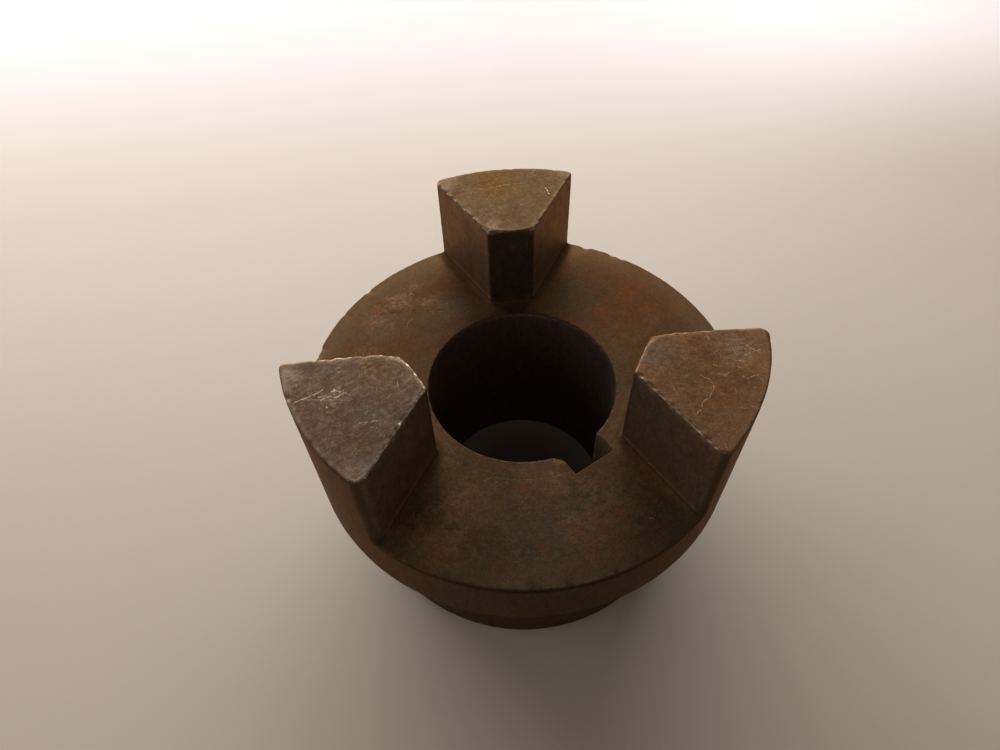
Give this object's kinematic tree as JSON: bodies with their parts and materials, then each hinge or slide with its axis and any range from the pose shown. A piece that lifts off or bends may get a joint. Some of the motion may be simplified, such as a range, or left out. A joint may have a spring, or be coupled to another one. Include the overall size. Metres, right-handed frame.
{
  "type": "jaw coupling hub",
  "caption": "Iron hub of a jaw shaft coupling: a keyed bore, a boss, a wider rim with upright wedge-shaped jaws, and a set screw over the keyway.",
  "frame": {"origin": "centre of the bore at the back face, which is the face the hub stands on", "axes": "+Z along the bore from the back face to the jaw tips; the keyway and the set screw are on the -Y side; one jaw points along -X"},
  "size_m": [0.0952, 0.0952, 0.0664],
  "materials": {
    "oiled_iron": "oiled, brown patina, worn bright along the jaw edges",
    "black_oxide_steel": "black oxide, worn at the edges"
  },
  "bodies": {
    "hub": {"jaw_hub": "oiled_iron"},
    "screw": {"set_screw": "black_oxide_steel"}
  },
  "joints": [
    {"name": "set_screw_travel", "type": "slide", "parent": "hub", "child": "screw", "axis": [0, 1, 0], "range_m": [-0.006, 0.0011]}
  ]
}
